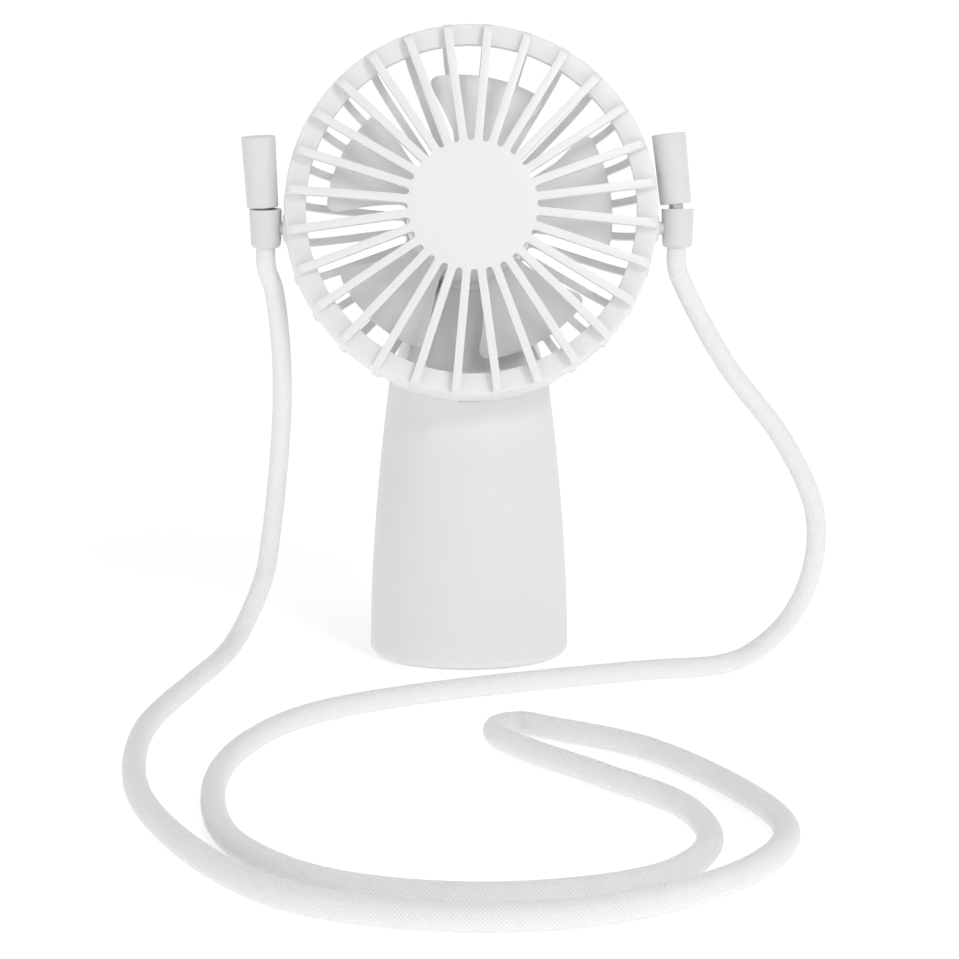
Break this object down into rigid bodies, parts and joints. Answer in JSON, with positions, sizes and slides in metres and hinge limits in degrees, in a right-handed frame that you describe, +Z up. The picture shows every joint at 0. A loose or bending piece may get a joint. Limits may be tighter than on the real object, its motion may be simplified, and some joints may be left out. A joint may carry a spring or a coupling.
{
  "type": "lanyard fan",
  "caption": "Small desk and neck fan: tilted round caged head, motor pod, tapered handle with a flat foot, push button, and a woven neck cord on swinging side fittings.",
  "frame": {"origin": "middle of the flat underside of the rubber foot, on the surface that the fan stands on", "axes": "+Z up, -Y the way the fan blows, +X to the right of the head seen from the front"},
  "size_m": [0.1755, 0.269, 0.1705],
  "materials": {
    "white_abs": "fine satin moulding",
    "white_rubber": "matte",
    "white_woven_polyester": "fine woven tube",
    "steel": "plated",
    "sintered_bronze": "sintered",
    "black_nylon": "satin",
    "cell_wrap": "shrink sleeve",
    "board_laminate": "solder mask",
    "clear_acrylic": "polished"
  },
  "bodies": {
    "fan_body": {"handle_body": "white_abs", "front_guard": "white_abs", "rear_guard": "white_abs", "pod_cover": "white_abs", "base_cap": "white_abs", "foot_pad": "white_rubber", "light_pipe": "clear_acrylic", "usb_socket": "steel", "power_switch": "black_nylon", "circuit_board": "board_laminate", "battery_cell": "cell_wrap", "inner_frame": "white_abs", "motor_can": "steel", "motor_bush": "sintered_bronze", "motor_end_cap": "black_nylon", "motor_leads": "black_nylon", "guard_screw_1": "steel", "guard_screw_2": "steel", "guard_screw_3": "steel", "base_screw_1": "steel", "base_screw_2": "steel"},
    "impeller_rotor": {"impeller": "white_abs", "motor_shaft": "steel"},
    "button": {"power_button": "white_abs"},
    "lanyard": {"left_collar": "white_abs", "right_collar": "white_abs", "left_barrel": "white_abs", "right_barrel": "white_abs", "left_stem": "steel", "right_stem": "steel", "neck_cord": "white_woven_polyester"}
  },
  "joints": [
    {"name": "impeller_spin", "type": "hinge", "parent": "fan_body", "child": "impeller_rotor", "pos_m": [0, -0.01823, 0.12105], "axis": [0, 0.9833, -0.1822], "continuous": true},
    {"name": "power_press", "type": "slide", "parent": "fan_body", "child": "button", "axis": [0, -1, 0], "range_m": [0, 0.0008], "stiffness_N_per_m": 1000},
    {"name": "lanyard_swing", "type": "hinge", "parent": "fan_body", "child": "lanyard", "pos_m": [0, -0.02044, 0.11739], "axis": [-1, 0, 0], "range_deg": [0, 180]}
  ]
}
